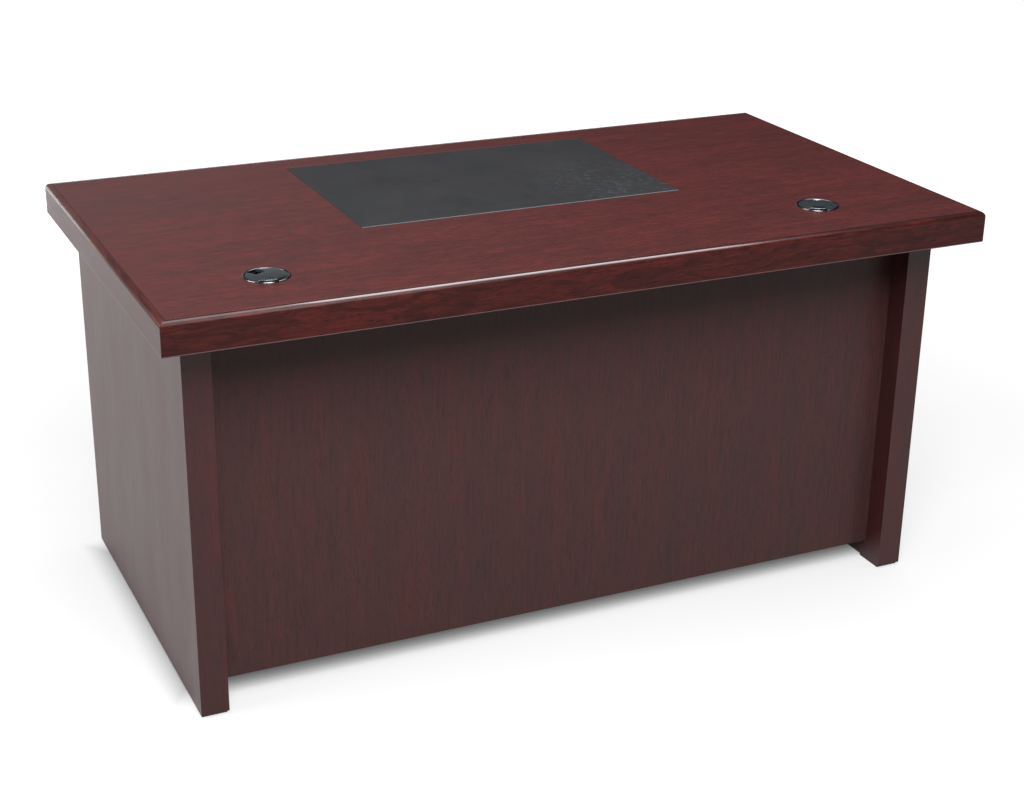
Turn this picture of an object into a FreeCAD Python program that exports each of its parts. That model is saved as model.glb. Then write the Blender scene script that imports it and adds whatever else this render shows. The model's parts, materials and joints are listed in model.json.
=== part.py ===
import FreeCAD, Part
import math
import os

os.makedirs("parts", exist_ok=True)

# Teacher desk, millimetres. X runs across the desk, the visitor's side faces -Y, the user's
# side faces +Y and Z is up. The origin is on the floor under the middle of the top.

# ------------------------------------------------------------------ driving sizes: the desk
desk_width = 1550.0
desk_depth = 840.0
desk_height = 760.0
side_overhang = 50.0
front_overhang = 85.0
rear_overhang = 15.0

# The top: a surface board on a thicker lower board, with mitred edges all round.
top_board_t = 25.0
lower_board_t = 33.0
edge_t = 12.0
edge_round = 10.0
edge_flat_min = 1.0

# The writing mat, let into the top.
mat_width = 640.0
mat_depth = 426.0
mat_t = 2.0
mat_rear_margin = 72.0
mat_gap = 0.4

# Panels that carry the top.
end_panel_t = 50.0
modesty_t = 18.0
modesty_setback = 48.0
modesty_floor_gap = 42.0
glide_height = 6.0

# Pedestals: drawers on the -X side, a cupboard on the +X side.
board_t = 16.0
pedestal_clear_width = 350.0
pedestal_floor_gap = 60.0
rail_depth = 60.0
front_t = 18.0
front_setback = 25.0
front_clearance = 2.0
front_gap = 3.0
front_top_gap = 4.0
bumper_gap = 2.0

# ------------------------------------------------------------------ driving sizes: drawers
upper_front_height = 160.0
upper_drawer_count = 2
drawer_side_t = 12.0
drawer_bottom_t = 5.0
groove_depth = 6.0
bottom_lift = 10.0
box_below_front_top = 50.0
drawer_floor_clearance = 4.0
drawer_rear_clearance = 81.0
runner_space = 12.7
runner_height = 45.0
runner_sheet = 1.2
runner_lip = 9.0
runner_ball_gap = 1.6
runner_end_margin = 50.0
runner_front_gap = 4.0
runner_lift = 25.0

# ------------------------------------------------------------------ driving sizes: fittings
handle_centres = 96.0
handle_length = 136.0
handle_radius = 5.5
handle_post_radius = 4.5
handle_standoff = 22.0
handle_edge_margin = 40.0
handle_drop = 130.0
tall_handle_drop = 81.0

lock_drop = 32.0
lock_body_radius = 9.0
lock_wall = 2.0
lock_flange_width = 3.0
lock_flange_t = 2.0
lock_reach = 8.0
lock_tail = 7.0
lock_tail_length = 4.0
tongue_length = 30.0
tongue_width = 14.0
tongue_t = 3.0
lock_running_gap = 0.05
lock_hole_gap = 0.1
key_slot_width = 1.6
key_slot_height = 8.0
key_slot_depth = 5.0
strike_slot_depth = 12.0
strike_slot_margin = 3.5

hinge_height = 60.0
hinge_end_margin = 80.0
hinge_leaf_t = 1.2
hinge_leaf_gap = 0.1
hinge_knuckle_radius = 3.0
hinge_pin_radius = 1.5
hinge_pin_gap = 0.05
hinge_knuckle_gap = 0.3
hinge_knuckles = 5
hinge_face_gap = 0.5

shelf_t = 18.0
shelf_side_gap = 1.0
shelf_front_setback = 20.0
shelf_rear_gap = 2.0
shelf_pin_radius = 2.5
shelf_pin_hole_depth = 9.0
shelf_pin_reach = 8.0
shelf_pin_inset = 60.0

catch_width = 44.0
catch_depth = 16.0
catch_height = 13.0
catch_side_gap = 12.0

# ------------------------------------------------------------------ driving sizes: grommets
left_grommet_inset = 218.0
right_grommet_inset = 268.0
grommet_front_inset = 153.5
cap_radius = 35.2
cap_gap = 0.3
cap_seat_depth = 3.0
cap_rim_height = 1.2
cap_dome = 1.4
cap_crown_t = 2.4
cap_skirt_t = 2.0
sleeve_wall = 1.5
sleeve_length = 20.0
sleeve_hole_gap = 0.2
flange_width = 3.0
flange_t = 2.0
flange_round = 1.0
ledge_width = 4.2
notch_width = 22.0
notch_reach = 12.0
finger_width = 36.0
finger_cutter_radius = 60.0
left_ring_turn = -12.0
right_ring_turn = -31.0
left_cap_turn = 210.0
right_cap_turn = -28.0
lip_width = 34.0
lip_height = 4.0
lip_slot_width = 16.0
lip_slot_height = 2.4
lip_overhang = 0.6
cable_slot_width = 80.0
cable_slot_length = 95.0

# ------------------------------------------------------------------ driving sizes: fixings
glide_length = 60.0
glide_side_inset = 2.0
glide_end_inset = 6.0
stem_radius = 4.0
stem_length = 20.0
cam_radius = 7.5
cam_depth = 12.5
cam_setback = 24.0
bolt_radius = 3.5
bolt_grip = 11.0
bolt_channel = 8.0
dowel_radius = 4.0
dowel_length = 30.0
dowel_grip = 12.0
fixing_gap = 0.1
fixing_end_margin = 80.0
dowel_offset = 40.0
modesty_dowel_shares = (0.1, 0.5, 0.9)
cam_slot_width = 1.5
cam_slot_depth = 2.0

# ------------------------------------------------------------------ derived places
half_width = desk_width / 2
half_depth = desk_depth / 2
top_under_z = desk_height - top_board_t - lower_board_t
board_split_z = desk_height - top_board_t
panel_outer_x = half_width - side_overhang
panel_inner_x = panel_outer_x - end_panel_t
panel_front_y = -half_depth + front_overhang
panel_rear_y = half_depth - rear_overhang
modesty_front_y = panel_front_y + modesty_setback
modesty_rear_y = modesty_front_y + modesty_t
face_y = panel_rear_y - front_setback
face_back_y = face_y - front_t
carcass_rear_y = face_back_y - bumper_gap
pedestal_inner_x = panel_inner_x - pedestal_clear_width
pedestal_side_x = pedestal_inner_x - board_t
pedestal_floor_z = pedestal_floor_gap + board_t
rail_z = top_under_z - board_t
front_low_z = pedestal_floor_gap
front_high_z = top_under_z - front_top_gap
pedestal_mid_x = (panel_inner_x + pedestal_inner_x) / 2
drawer_length = face_back_y - modesty_rear_y - drawer_rear_clearance
runner_length = drawer_length - runner_end_margin
runner_front_y = carcass_rear_y - runner_front_gap

sleeve_radius = cap_radius + cap_gap + sleeve_wall
flange_radius = sleeve_radius + flange_width
ledge_radius = cap_radius - ledge_width
lock_length = front_t + lock_reach
lock_barrel_radius = lock_body_radius - lock_wall
hinge_offset = hinge_knuckle_radius + hinge_face_gap

LEFT = -1
RIGHT = 1
ORIGIN = FreeCAD.Vector(0, 0, 0)
X = FreeCAD.Vector(1, 0, 0)
Y = FreeCAD.Vector(0, 1, 0)
Z = FreeCAD.Vector(0, 0, 1)

nodes = {}


# ------------------------------------------------------------------ small helpers
def box(x_range, y_range, z_range):
    """A block between two values on each axis, given in either order."""
    x0, x1 = sorted(x_range)
    y0, y1 = sorted(y_range)
    z0, z1 = sorted(z_range)
    return Part.makeBox(x1 - x0, y1 - y0, z1 - z0, FreeCAD.Vector(x0, y0, z0))


def rod(start, axis, radius, length):
    """A cylinder from a point along an axis; a negative length runs the other way."""
    if length < 0:
        start = start + axis * length
    return Part.makeCylinder(radius, abs(length), start, axis)


def around(middle, width):
    """The two values half a width either side of a middle."""
    return middle - width / 2, middle + width / 2


def cut_all(shape, tools):
    """Cut a shape with the tools that reach it."""
    for tool in tools:
        if shape.BoundBox.intersect(tool.BoundBox):
            shape = shape.cut(tool)
    return shape


def fuse_all(pieces):
    """Join pieces into one clean solid."""
    shape = pieces[0]
    for piece in pieces[1:]:
        shape = shape.fuse(piece)
    return shape.removeSplitter()


# ------------------------------------------------------------------ hidden panel fixings
def cam_joint(start, cam_axis, bolt_axis):
    """A cam let into a face at start, and the bolt that it pulls, along bolt_axis."""
    cam = rod(start, cam_axis, cam_radius, cam_depth)
    middle = start + cam_axis * (cam_depth / 2)
    reach = cam_setback + bolt_grip
    bolt = rod(middle, bolt_axis, bolt_radius, reach)
    channel = rod(middle, bolt_axis, bolt_channel / 2, cam_radius + fixing_gap)
    side = cam_axis.cross(bolt_axis)
    slot = Part.makeBox(cam_slot_width, 2 * cam_radius, cam_slot_depth)
    slot.translate(FreeCAD.Vector(-cam_slot_width / 2, -cam_radius, 0))
    turn = FreeCAD.Rotation(side, bolt_axis, cam_axis, "ZXY")
    slot.Placement = FreeCAD.Placement(start, turn).multiply(slot.Placement)
    pocket = rod(start, cam_axis, cam_radius + fixing_gap, cam_depth + fixing_gap)
    bore = rod(middle, bolt_axis, bolt_radius + fixing_gap, reach + fixing_gap)
    return cam.cut(channel).cut(slot), bolt, [pocket, bore]


def plain_dowel(joint, axis, depth_back):
    """A dowel across a joint: dowel_grip past the joint, the rest behind it."""
    start = joint - axis * depth_back
    pin = rod(start, axis, dowel_radius, depth_back + dowel_grip)
    bore = rod(start - axis * fixing_gap, axis, dowel_radius + fixing_gap,
               depth_back + dowel_grip + 2 * fixing_gap)
    return pin, bore


def make_fixings():
    """All cams, bolts and dowels, and the holes that they need."""
    cams = []
    bolts = []
    dowels = []
    holes = []
    y_places = (modesty_rear_y + fixing_end_margin, carcass_rear_y - fixing_end_margin)
    back_part = dowel_length - dowel_grip
    for side in (LEFT, RIGHT):
        outward = X * side
        for y in y_places:
            places = [
                (FreeCAD.Vector(side * panel_inner_x, y, top_under_z - cam_setback), outward, Z),
                (FreeCAD.Vector(side * (panel_inner_x - cam_setback), y, pedestal_floor_gap), Z, outward),
                (FreeCAD.Vector(side * (pedestal_inner_x + cam_setback), y, pedestal_floor_gap), Z,
                 outward * -1),
            ]
            for start, cam_axis, bolt_axis in places:
                cam, bolt, cuts = cam_joint(start, cam_axis, bolt_axis)
                cams.append(cam)
                bolts.append(bolt)
                holes.extend(cuts)
            for x in (panel_inner_x + end_panel_t / 2, pedestal_inner_x - board_t / 2):
                joint = FreeCAD.Vector(side * x, y + dowel_offset, top_under_z)
                pin, bore = plain_dowel(joint, Z, back_part)
                dowels.append(pin)
                holes.append(bore)
        modesty_height = top_under_z - modesty_floor_gap
        for share in modesty_dowel_shares:
            z = modesty_floor_gap + share * modesty_height
            joint = FreeCAD.Vector(side * panel_inner_x, modesty_front_y + modesty_t / 2, z)
            pin, bore = plain_dowel(joint, outward, back_part)
            dowels.append(pin)
            holes.append(bore)
    nodes["cam_locks"] = Part.makeCompound(cams)
    nodes["cam_bolts"] = Part.makeCompound(bolts)
    nodes["dowels"] = Part.makeCompound(dowels)
    return holes


# ------------------------------------------------------------------ the top
def mitred_edge(length, offset, turn):
    """One edge of the top, drawn along X with its outer face at -offset, then turned."""
    start = -length / 2
    outer = -offset
    inner = outer + edge_t
    radius = min(edge_round, edge_t - edge_flat_min)
    bend = radius * (1 - math.sqrt(0.5))
    outline = [
        FreeCAD.Vector(start, outer + radius, desk_height),
        FreeCAD.Vector(start, inner, desk_height),
        FreeCAD.Vector(start, inner, top_under_z),
        FreeCAD.Vector(start, outer, top_under_z),
        FreeCAD.Vector(start, outer, desk_height - radius),
    ]
    middle = FreeCAD.Vector(start, outer + bend, desk_height - bend)
    sides = [Part.makeLine(outline[i], outline[i + 1]) for i in range(len(outline) - 1)]
    sides.append(Part.Arc(outline[-1], middle, outline[0]).toShape())
    bar = Part.Face(Part.Wire(sides)).extrude(X * length)
    plan = [
        FreeCAD.Vector(start, outer, top_under_z),
        FreeCAD.Vector(-start, outer, top_under_z),
        FreeCAD.Vector(-start - edge_t, inner, top_under_z),
        FreeCAD.Vector(start + edge_t, inner, top_under_z),
    ]
    wedge = Part.Face(Part.makePolygon(plan + plan[:1])).extrude(Z * (desk_height - top_under_z))
    edge = bar.common(wedge)
    edge.rotate(ORIGIN, Z, turn)
    return edge


def grommet_places():
    """The middle of each cable grommet on the top, left then right."""
    y = -half_depth + grommet_front_inset
    return (-half_width + left_grommet_inset, y), (half_width - right_grommet_inset, y)


def mat_block(depth, gap):
    """The writing mat's block, grown sideways by a gap."""
    x_range = around(0, mat_width + 2 * gap)
    rear = half_depth - mat_rear_margin
    return box(x_range, (rear - mat_depth - gap, rear + gap), (desk_height - depth, desk_height))


def make_top(holes):
    """The two boards, the four edges and the mat."""
    x_range = (-half_width + edge_t, half_width - edge_t)
    y_range = (-half_depth + edge_t, half_depth - edge_t)
    board = box(x_range, y_range, (board_split_z, desk_height))
    board = board.cut(mat_block(mat_t, mat_gap))
    lower = box(x_range, y_range, (top_under_z, board_split_z))
    for x, y in grommet_places():
        hole = rod(FreeCAD.Vector(x, y, board_split_z), Z, sleeve_radius + sleeve_hole_gap, top_board_t)
        board = board.cut(hole)
        slot_y = (modesty_rear_y, modesty_rear_y + cable_slot_length)
        lower = lower.cut(box(around(x, cable_slot_width), slot_y, (top_under_z, board_split_z)))
    nodes["top_board"] = board
    nodes["top_lower_board"] = cut_all(lower, holes)
    nodes["writing_mat"] = mat_block(mat_t, 0)
    nodes["top_front_edge"] = mitred_edge(desk_width, half_depth, 0)
    nodes["top_right_edge"] = mitred_edge(desk_depth, half_width, 90)
    nodes["top_rear_edge"] = mitred_edge(desk_width, half_depth, 180)
    nodes["top_left_edge"] = mitred_edge(desk_depth, half_width, 270)


# ------------------------------------------------------------------ cable grommets
def grommet_ring(turn):
    """The liner at the origin: flange, sleeve, the cap's ledge and a slotted lip, then turned."""
    flange = rod(ORIGIN, Z, flange_radius, flange_t)
    upper_rim = [edge for edge in flange.Edges if edge.BoundBox.ZMin > flange_t / 2]
    flange = flange.makeFillet(min(flange_round, flange_t / 2), upper_rim)
    sleeve = rod(ORIGIN, Z, sleeve_radius, -sleeve_length)
    lip_base = flange_t / 2
    lip = rod(Z * lip_base, Z, flange_radius + lip_overhang, lip_height + flange_t - lip_base)
    lip_front = (-flange_radius - lip_overhang, 0)
    lip = lip.common(box(around(0, lip_width), lip_front, (lip_base, flange_t + lip_height)))
    slot = box(around(0, lip_slot_width), lip_front, (flange_t, flange_t + lip_slot_height))
    ring = fuse_all([flange, sleeve, lip])
    seat = rod(Z * -cap_seat_depth, Z, cap_radius + cap_gap, cap_seat_depth + flange_t + lip_height)
    throat = rod(Z * -sleeve_length, Z, ledge_radius, sleeve_length)
    ring = ring.cut(slot).cut(seat).cut(throat)
    ring.rotate(ORIGIN, Z, turn)
    return ring


def grommet_cap(turn):
    """The turning cap at the origin, with its cable notch at the front before it turns."""
    rim_z = flange_t - cap_rim_height / 2
    crown_z = rim_z + cap_dome
    dome_radius = (cap_radius ** 2 + cap_dome ** 2) / (2 * cap_dome)
    disc = rod(Z * -cap_seat_depth, Z, cap_radius, cap_seat_depth + crown_z)
    dome = Part.makeSphere(dome_radius, Z * (crown_z - dome_radius))
    disc = disc.common(dome)
    hollow_top = rim_z - cap_crown_t
    hollow = rod(Z * -cap_seat_depth, Z, ledge_radius - cap_skirt_t, cap_seat_depth + hollow_top)
    notch = box(around(0, notch_width), (-cap_radius - 1, -notch_reach), (-cap_seat_depth, crown_z))
    half = finger_width / 2
    bite_y = math.sqrt(cap_radius ** 2 - half ** 2)
    cutter_y = bite_y + math.sqrt(finger_cutter_radius ** 2 - half ** 2)
    start = FreeCAD.Vector(0, cutter_y, -cap_seat_depth)
    finger = rod(start, Z, finger_cutter_radius, cap_seat_depth + crown_z)
    cap = disc.cut(hollow).cut(notch).cut(finger)
    cap.rotate(ORIGIN, Z, turn)
    return cap


def make_grommets():
    ring_turns = (left_ring_turn, right_ring_turn)
    cap_turns = (left_cap_turn, right_cap_turn)
    for name, place, ring_turn, cap_turn in zip(("left", "right"), grommet_places(), ring_turns, cap_turns):
        at = FreeCAD.Vector(place[0], place[1], desk_height)
        nodes[name + "_grommet_ring"] = grommet_ring(ring_turn).translated(at)
        nodes[name + "_grommet_cap"] = grommet_cap(cap_turn).translated(at)


# ------------------------------------------------------------------ end panels and modesty panel
def glide_y_ranges():
    """The front and rear glides' extents along an end panel."""
    front = panel_front_y + glide_end_inset
    rear = panel_rear_y - glide_end_inset
    return {"front": (front, front + glide_length), "rear": (rear - glide_length, rear)}


def make_glide(side, y_range):
    """A push-in glide under an end panel, and the hole for its stem."""
    x_range = (panel_inner_x + glide_side_inset, panel_outer_x - glide_side_inset)
    pad = box([side * x for x in x_range], y_range, (0, glide_height))
    middle = FreeCAD.Vector(side * sum(x_range) / 2, sum(y_range) / 2, glide_height)
    stem = rod(middle, Z, stem_radius, stem_length)
    hole = rod(middle, Z, stem_radius + fixing_gap, stem_length + fixing_gap)
    return fuse_all([pad, stem]), hole


def make_panels(holes):
    """End panels on their glides, and the modesty panel between them."""
    for name, side in (("left", LEFT), ("right", RIGHT)):
        x_range = (side * panel_inner_x, side * panel_outer_x)
        panel = box(x_range, (panel_front_y, panel_rear_y), (glide_height, top_under_z))
        for end, y_range in glide_y_ranges().items():
            glide, hole = make_glide(side, y_range)
            nodes[end + "_" + name + "_glide"] = glide
            panel = panel.cut(hole)
        nodes[name + "_end_panel"] = cut_all(panel, holes)
    modesty = box((-panel_inner_x, panel_inner_x), (modesty_front_y, modesty_rear_y),
                  (modesty_floor_gap, top_under_z))
    nodes["modesty_panel"] = cut_all(modesty, holes)


# ------------------------------------------------------------------ pedestals
def make_pedestal(prefix, side, holes):
    """A pedestal's inner side, its bottom and its top rail."""
    y_range = (modesty_rear_y, carcass_rear_y)
    upright = box((side * pedestal_side_x, side * pedestal_inner_x), y_range,
                  (pedestal_floor_gap, top_under_z))
    clear = (side * pedestal_inner_x, side * panel_inner_x)
    bottom = box(clear, y_range, (pedestal_floor_gap, pedestal_floor_z))
    rail = box(clear, (carcass_rear_y - rail_depth, carcass_rear_y), (rail_z, top_under_z))
    nodes[prefix + "_side"] = cut_all(upright, holes)
    nodes[prefix + "_bottom"] = cut_all(bottom, holes)
    nodes[prefix + "_rail"] = rail


def front_x_range(side):
    """The fronts' extent: they cover the pedestal's side and clear the end panel."""
    return side * pedestal_side_x, side * (panel_inner_x - front_clearance)


def bow_handle(middle, along):
    """A round bar on two posts, standing off a front, as one casting."""
    bar_middle = middle + Y * (handle_standoff + handle_radius)
    pieces = [rod(bar_middle - along * (handle_length / 2), along, handle_radius, handle_length)]
    for end in (-1, 1):
        foot = middle + along * (end * handle_centres / 2)
        pieces.append(rod(foot, Y, handle_post_radius, handle_standoff + handle_radius))
    return fuse_all(pieces)


# ------------------------------------------------------------------ drawers
def drawer_fronts():
    """The height range of each front, from the top one down; the last takes what is left."""
    ranges = []
    high = front_high_z
    for _ in range(upper_drawer_count):
        ranges.append((high - upper_front_height, high))
        high = high - upper_front_height - front_gap
    ranges.append((front_low_z, high))
    return ranges


def runner_pair(z, moving):
    """The pair of runners at one height: fixed channels, or the moving ones inside them."""
    y_range = (runner_front_y - runner_length, runner_front_y)
    pair = []
    for wall, inward in ((-panel_inner_x, 1), (-pedestal_inner_x, -1)):
        if moving:
            back = wall + inward * runner_space
            lip = wall + inward * (runner_sheet + runner_ball_gap)
            web = back - inward * runner_sheet
            height = runner_height - 2 * (runner_sheet + runner_ball_gap)
        else:
            back = wall
            lip = wall + inward * runner_lip
            web = back + inward * runner_sheet
            height = runner_height
        inside = around(z, height - 2 * runner_sheet)
        outer = box((back, lip), y_range, around(z, height))
        pair.append(outer.cut(box((web, lip), y_range, inside)))
    return pair


def make_drawer(name, z_range):
    """A drawer: front, box and runners. The box's bottom is let into grooves all round."""
    low, high = z_range
    box_low = low + board_t + drawer_floor_clearance
    box_high = high - box_below_front_top
    x_out = (-panel_inner_x + runner_space, -pedestal_inner_x - runner_space)
    x_in = (x_out[0] + drawer_side_t, x_out[1] - drawer_side_t)
    y_range = (face_back_y - drawer_length, face_back_y)
    bottom_z = (box_low + bottom_lift, box_low + bottom_lift + drawer_bottom_t)
    bottom = box((x_in[0] - groove_depth, x_in[1] + groove_depth),
                 (y_range[0], face_back_y + groove_depth), bottom_z)
    front = box(front_x_range(LEFT), (face_back_y, face_y), z_range)
    left = box((x_out[0], x_in[0]), y_range, (box_low, box_high))
    right = box((x_in[1], x_out[1]), y_range, (box_low, box_high))
    back = box(x_in, (y_range[0], y_range[0] + drawer_side_t), (bottom_z[1], box_high))
    nodes[name + "_front"] = front.cut(bottom)
    nodes[name + "_left_side"] = left.cut(bottom)
    nodes[name + "_right_side"] = right.cut(bottom)
    nodes[name + "_back"] = back
    nodes[name + "_bottom"] = bottom
    handle_at = FreeCAD.Vector(-pedestal_mid_x, face_y, (low + high) / 2)
    if high - low > 2 * handle_drop:
        handle_at.z = high - tall_handle_drop
    nodes[name + "_handle"] = bow_handle(handle_at, X)
    runner_z = box_low + runner_lift + runner_height / 2
    nodes[name + "_runners"] = Part.makeCompound(runner_pair(runner_z, True))
    return runner_pair(runner_z, False)


def make_drawers():
    fixed = []
    for number, z_range in enumerate(drawer_fronts(), start=1):
        fixed.extend(make_drawer("drawer_%d" % number, z_range))
    nodes["cabinet_runners"] = Part.makeCompound(fixed)


def make_drawer_lock():
    """The top drawer's cam lock: its tongue lies flat at rest and turns up into the rail."""
    lock_z = front_high_z - lock_drop
    face = FreeCAD.Vector(-pedestal_mid_x, face_y, lock_z)
    into = Y * -1
    body = rod(face, into, lock_body_radius, lock_length)
    flange = rod(face, Y, lock_body_radius + lock_flange_width, lock_flange_t)
    bore = rod(face + Y * lock_flange_t, into, lock_barrel_radius + lock_running_gap,
               lock_length + lock_flange_t)
    nodes["drawer_lock_housing"] = fuse_all([body, flange]).cut(bore)
    hole = rod(face, into, lock_body_radius + lock_hole_gap, front_t)
    nodes["drawer_1_front"] = nodes["drawer_1_front"].cut(hole)
    barrel = rod(face + Y * lock_flange_t, into, lock_barrel_radius, lock_length + lock_flange_t)
    rear_y = face_y - lock_length
    tail = box(around(face.x, lock_tail), (rear_y - lock_tail_length, rear_y), around(lock_z, lock_tail))
    slot = box(around(face.x, key_slot_width),
               (face_y + lock_flange_t - key_slot_depth, face_y + lock_flange_t),
               around(lock_z, key_slot_height))
    nodes["drawer_lock_barrel"] = fuse_all([barrel, tail]).cut(slot)
    tongue_y = (rear_y - tongue_t - lock_hole_gap, rear_y - lock_hole_gap)
    tongue = box((face.x - tongue_length, face.x + tongue_width / 2), tongue_y,
                 around(lock_z, tongue_width))
    nodes["drawer_lock_tongue"] = tongue.cut(tail)
    sweep = tongue_length + strike_slot_margin
    strike_x = (face.x - sweep, face.x + tongue_width / 2 + strike_slot_margin)
    strike_y = (tongue_y[0] - strike_slot_margin, tongue_y[1] + strike_slot_margin)
    strike = box(strike_x, strike_y, (rail_z, rail_z + strike_slot_depth))
    nodes["drawer_unit_rail"] = nodes["drawer_unit_rail"].cut(strike)


# ------------------------------------------------------------------ cupboard
def shelf_level():
    """The underside of the shelf, which lies halfway up the cupboard."""
    return (pedestal_floor_z + rail_z - shelf_t) / 2


def make_shelf():
    """The loose shelf on four pins, and the pins' holes in both sides."""
    low = shelf_level()
    y_range = (modesty_rear_y + shelf_rear_gap, carcass_rear_y - shelf_front_setback)
    x_range = (pedestal_inner_x + shelf_side_gap, panel_inner_x - shelf_side_gap)
    nodes["cupboard_shelf"] = box(x_range, y_range, (low, low + shelf_t))
    pins = []
    for y in (y_range[0] + shelf_pin_inset, y_range[1] - shelf_pin_inset):
        for wall, outward in ((pedestal_inner_x, -1), (panel_inner_x, 1)):
            start = FreeCAD.Vector(wall - outward * shelf_pin_reach, y, low - shelf_pin_radius)
            length = shelf_pin_reach + shelf_pin_hole_depth
            pins.append(rod(start, X, shelf_pin_radius, outward * length))
            hole = rod(start, X, shelf_pin_radius + fixing_gap, outward * (length + fixing_gap))
            for name in ("cupboard_side", "right_end_panel"):
                nodes[name] = cut_all(nodes[name], [hole])
    nodes["shelf_pins"] = Part.makeCompound(pins)


def hinge_pieces(low):
    """One butt hinge: the panel's leaf, the door's leaf and the pin, from a height up."""
    pin_x = panel_inner_x - hinge_knuckle_radius - hinge_leaf_gap
    pin_y = face_y + hinge_offset
    panel_leaf = [box((panel_inner_x - hinge_leaf_t, panel_inner_x), (face_back_y, pin_y),
                      (low, low + hinge_height))]
    door_x = panel_inner_x - hinge_leaf_t - hinge_leaf_gap
    door_leaf = [box((door_x - hinge_leaf_t, door_x), (face_back_y, pin_y), (low, low + hinge_height))]
    step = hinge_height / hinge_knuckles
    clear_radius = hinge_knuckle_radius + hinge_knuckle_gap
    panel_cuts = []
    door_cuts = []
    for index in range(hinge_knuckles):
        base = FreeCAD.Vector(pin_x, pin_y, low + index * step)
        knuckle = rod(base + Z * (hinge_knuckle_gap / 2), Z, hinge_knuckle_radius, step - hinge_knuckle_gap)
        room = rod(base, Z, clear_radius, step)
        if index % 2:
            door_leaf.append(knuckle)
            panel_cuts.append(room)
        else:
            panel_leaf.append(knuckle)
            door_cuts.append(room)
    bottom = FreeCAD.Vector(pin_x, pin_y, low)
    pin = rod(bottom, Z, hinge_pin_radius, hinge_height)
    pin_bore = rod(bottom, Z, hinge_pin_radius + hinge_pin_gap, hinge_height)
    panel_part = cut_all(panel_leaf[0], panel_cuts)
    door_part = cut_all(door_leaf[0], door_cuts)
    panel_part = fuse_all([panel_part] + panel_leaf[1:]).cut(pin)
    door_part = fuse_all([door_part] + door_leaf[1:]).cut(pin_bore)
    return panel_part, door_part, pin


def make_door():
    """The cupboard's door on two butt hinges, its handle and its magnetic catch."""
    free_x = pedestal_side_x
    hinge_x = panel_inner_x - 2 * hinge_leaf_t - hinge_leaf_gap
    nodes["cupboard_door"] = box((free_x, hinge_x), (face_back_y, face_y), (front_low_z, front_high_z))
    levels = (front_low_z + hinge_end_margin, front_high_z - hinge_end_margin - hinge_height)
    panel_leaves, door_leaves, pins = zip(*[hinge_pieces(low) for low in levels])
    nodes["hinge_panel_leaves"] = Part.makeCompound(list(panel_leaves))
    nodes["hinge_door_leaves"] = Part.makeCompound(list(door_leaves))
    nodes["hinge_pins"] = Part.makeCompound(list(pins))
    handle_at = FreeCAD.Vector(free_x + handle_edge_margin, face_y, front_high_z - handle_drop)
    nodes["door_handle"] = bow_handle(handle_at, Z)
    catch_x = (pedestal_inner_x + catch_side_gap, pedestal_inner_x + catch_side_gap + catch_width)
    nodes["door_catch"] = box(catch_x, (carcass_rear_y - catch_depth, carcass_rear_y),
                              (rail_z - catch_height, rail_z))


# ------------------------------------------------------------------ build and write
fixing_holes = make_fixings()
make_top(fixing_holes)
make_grommets()
make_panels(fixing_holes)
make_pedestal("drawer_unit", LEFT, fixing_holes)
make_pedestal("cupboard", RIGHT, fixing_holes)
make_drawers()
make_drawer_lock()
make_shelf()
make_door()

for node_name, node_shape in nodes.items():
    node_shape.exportStep("parts/" + node_name + ".step")
print(len(nodes), "nodes")
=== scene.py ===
import json
import math

import bmesh
import bpy
from mathutils import Matrix, Vector, noise


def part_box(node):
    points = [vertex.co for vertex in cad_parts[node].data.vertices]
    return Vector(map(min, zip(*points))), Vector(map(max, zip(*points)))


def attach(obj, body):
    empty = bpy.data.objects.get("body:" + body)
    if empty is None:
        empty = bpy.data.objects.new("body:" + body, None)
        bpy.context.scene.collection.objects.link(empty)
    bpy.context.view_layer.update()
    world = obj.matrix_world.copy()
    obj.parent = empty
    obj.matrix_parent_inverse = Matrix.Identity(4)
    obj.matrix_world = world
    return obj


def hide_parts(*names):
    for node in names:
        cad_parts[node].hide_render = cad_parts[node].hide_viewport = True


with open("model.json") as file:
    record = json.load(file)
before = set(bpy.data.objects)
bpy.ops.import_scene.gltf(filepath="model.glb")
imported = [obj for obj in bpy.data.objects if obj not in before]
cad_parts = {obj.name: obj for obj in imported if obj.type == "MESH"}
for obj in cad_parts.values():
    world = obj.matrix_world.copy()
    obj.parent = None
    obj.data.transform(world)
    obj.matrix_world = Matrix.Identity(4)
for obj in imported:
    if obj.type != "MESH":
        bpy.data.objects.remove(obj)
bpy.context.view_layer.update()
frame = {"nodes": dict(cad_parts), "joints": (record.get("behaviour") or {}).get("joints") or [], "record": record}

# Looks for the teacher desk, in metres: X across the desk, -Y the visitor's side, +Y the
# user's side, Z up. The boards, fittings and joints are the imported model's own.

NODES = frame["nodes"]
JOINTS = {joint["name"]: joint for joint in frame["joints"]}


# ------------------------------------------------------------------ sums on surface values
class Amount:
    """A number that changes over a surface; sums on it add Math nodes."""

    def __init__(self, recipe, socket):
        self.recipe = recipe
        self.socket = socket

    def maths(self, operation, first, second):
        return self.recipe.node("ShaderNodeMath", {"operation": operation}, {0: first, 1: second})

    def alone(self, operation):
        """An operation on this one value, such as its sine or its size without a sign."""
        return self.maths(operation, self, 0.0)

    def __add__(self, other):
        return self.maths("ADD", self, other)

    def __sub__(self, other):
        return self.maths("SUBTRACT", self, other)

    def __rsub__(self, other):
        return self.maths("SUBTRACT", other, self)

    def __mul__(self, other):
        return self.maths("MULTIPLY", self, other)

    __radd__ = __add__
    __rmul__ = __mul__


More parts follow.
